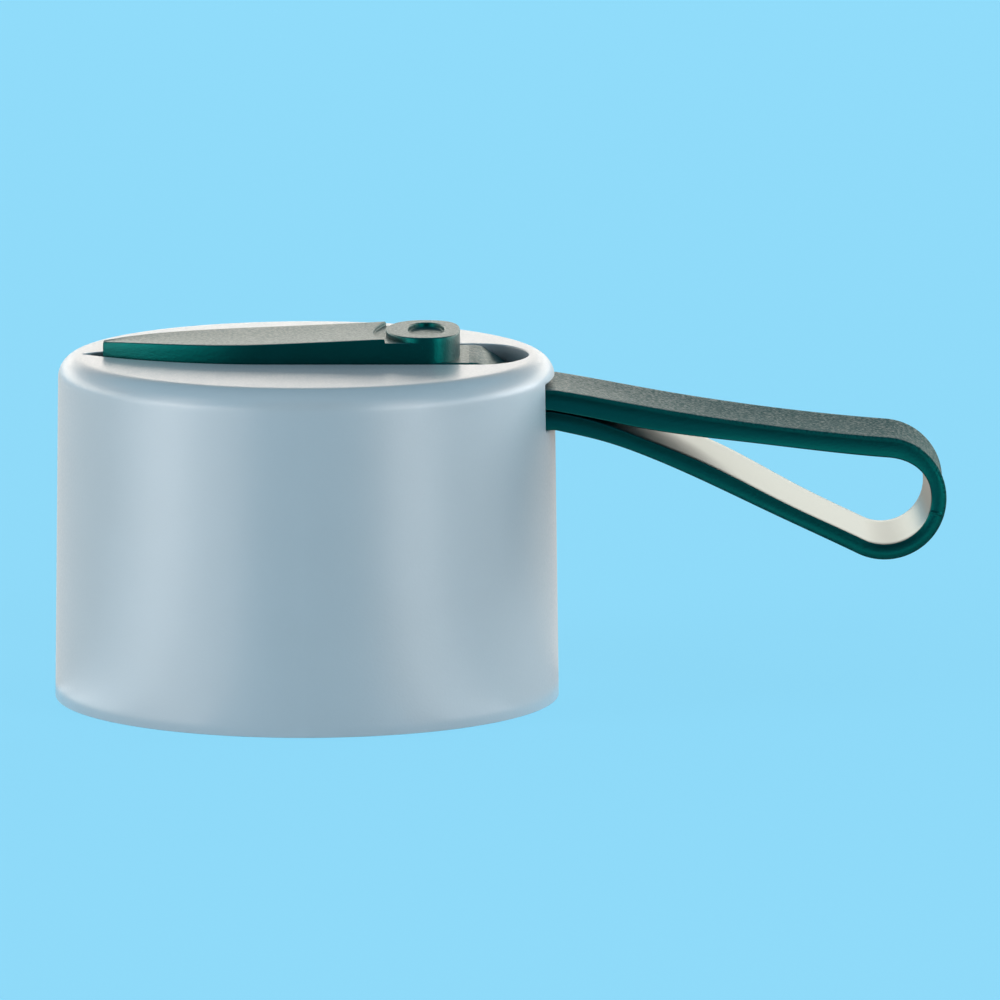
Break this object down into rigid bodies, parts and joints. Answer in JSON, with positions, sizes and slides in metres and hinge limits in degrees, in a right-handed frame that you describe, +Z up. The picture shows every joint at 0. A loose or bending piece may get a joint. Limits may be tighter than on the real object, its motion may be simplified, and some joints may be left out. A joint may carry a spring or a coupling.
{
  "type": "bottle pouring cap",
  "caption": "Screw-on pouring cap for a drink bottle, with a flip stopper lever in a teardrop well and a flexible carry loop at one side.",
  "frame": {"origin": "centre of the base rim's plane, on the cap's axis", "axes": "+Z up the cap's axis towards its top, +X towards the carry loop, +Y completes a right-handed frame; the XZ plane is the outside shape's plane of symmetry"},
  "size_m": [0.0882, 0.05, 0.0366],
  "materials": {
    "shell": "satin",
    "deck": "satin",
    "liner": "satin",
    "core": "satin",
    "band": "matte",
    "seal": "satin",
    "plug": "satin",
    "foam": "matte",
    "steel": "satin"
  },
  "bodies": {
    "cap": {"outer_shell": "shell", "spout_deck": "deck", "well_gasket": "seal", "deck_screws": "steel", "hinge_web": "band", "carry_strap": "band", "anchor_pin": "steel", "neck_liner": "liner", "neck_gasket": "seal", "spout_o_ring": "seal", "vent_o_ring": "seal", "insulation_disc": "foam"},
    "lever": {"stopper_lever": "band", "lever_core": "core", "spout_plug": "plug", "vent_plug": "plug"}
  },
  "joints": [
    {"name": "lever_hinge", "type": "hinge", "parent": "cap", "child": "lever", "pos_m": [0.01715, 0, 0.0331], "axis": [0, 1, 0], "range_deg": [0, 105], "deforming": ["hinge_web"]}
  ]
}
